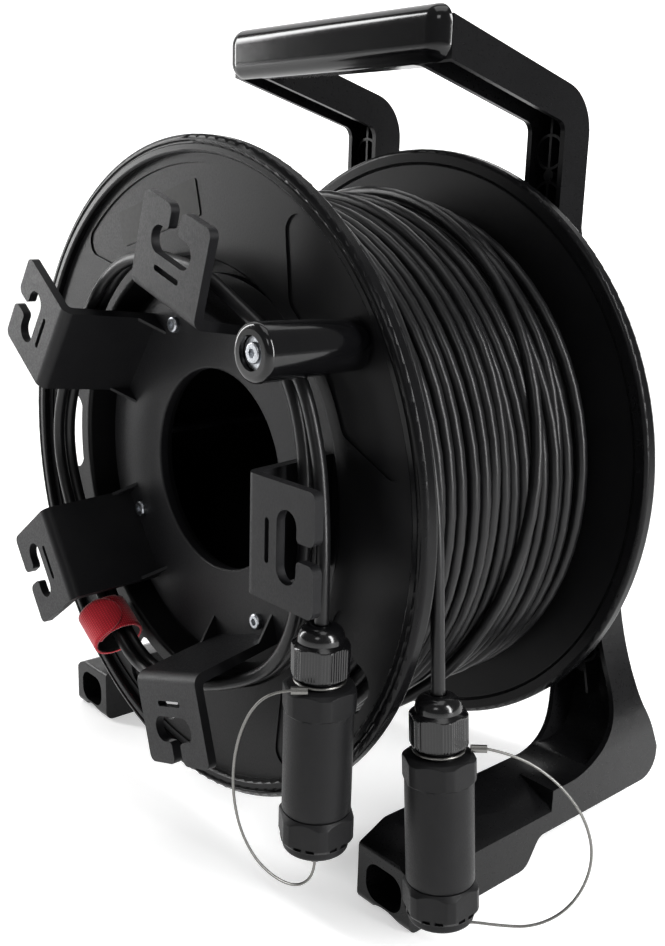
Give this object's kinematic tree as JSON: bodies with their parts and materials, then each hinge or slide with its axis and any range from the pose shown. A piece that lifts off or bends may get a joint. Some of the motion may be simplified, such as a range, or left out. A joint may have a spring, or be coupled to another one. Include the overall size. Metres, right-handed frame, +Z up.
{
  "type": "portable cable reel",
  "caption": "Hand-carried drum on a moulded stand with a side crank, front storage brackets and a wound cable whose capped plugs hang at the front.",
  "frame": {"origin": "on the floor, in the middle of the bounding box of the reel without its loose cable ends and plugs", "axes": "+Z up; +Y along the drum axis from the bracket side towards the stand; +X to the right seen from the bracket side"},
  "size_m": [0.3538, 0.2486, 0.388],
  "materials": {
    "grained_pp": "grained black moulded polypropylene",
    "bracket_pp": "fine-grained dark grey moulded plastic",
    "stand_pp": "satin black moulded polypropylene",
    "gloss_pp": "glossy black moulded plastic",
    "acetal": "natural acetal",
    "label": "blank satin label film",
    "strap": "red woven hook-and-loop tape",
    "cable_jacket": "satin black polyurethane jacket",
    "plug_nylon": "matt black moulded nylon",
    "steel": "bright steel"
  },
  "bodies": {
    "stand": {"side_left": "stand_pp", "side_right": "stand_pp", "handle_grip": "gloss_pp", "axle_plate": "steel", "plate_bolts": "steel", "axle": "steel", "axle_nut": "steel", "axle_washer": "steel", "axle_clip": "steel", "running_cable": "cable_jacket", "running_crimp": "steel", "running_gland": "plug_nylon", "running_insert": "plug_nylon", "running_ring": "steel", "running_shell": "plug_nylon", "running_swivel": "steel", "running_tether": "steel"},
    "drum": {"front_flange": "grained_pp", "rear_flange": "grained_pp", "drum_core": "grained_pp", "tie_bolts": "steel", "hub_bush": "acetal", "hook_plate": "bracket_pp", "hook_screws": "steel", "label_plate": "label", "crank_spindle": "steel", "crank_washer": "steel", "crank_screw": "steel", "cable_winding": "cable_jacket", "cable_strap": "strap", "stored_cable": "cable_jacket", "stored_crimp": "steel", "stored_gland": "plug_nylon", "stored_insert": "plug_nylon", "stored_ring": "steel", "stored_shell": "plug_nylon", "stored_swivel": "steel", "stored_tether": "steel"},
    "crank": {"crank_handle": "gloss_pp"},
    "stored_cap": {"stored_cap": "plug_nylon"},
    "running_cap": {"running_cap": "plug_nylon"}
  },
  "joints": [
    {"name": "drum_spin", "type": "hinge", "parent": "stand", "child": "drum", "pos_m": [0, 0, 0.176], "axis": [0, -1, 0], "continuous": true},
    {"name": "crank_spin", "type": "hinge", "parent": "drum", "child": "crank", "pos_m": [0.10795, -0.0955, 0.25075], "axis": [0, -1, 0], "continuous": true},
    {"name": "stored_cap_turn", "type": "hinge", "parent": "drum", "child": "stored_cap", "pos_m": [0.1205, -0.0955, 0.0565], "axis": [0, 0, -1], "range_deg": [0, 90]},
    {"name": "running_cap_turn", "type": "hinge", "parent": "stand", "child": "running_cap", "pos_m": [0.1515, -0.06, 0.1162], "axis": [0.0873, 0, -0.9962], "range_deg": [0, 90]}
  ]
}
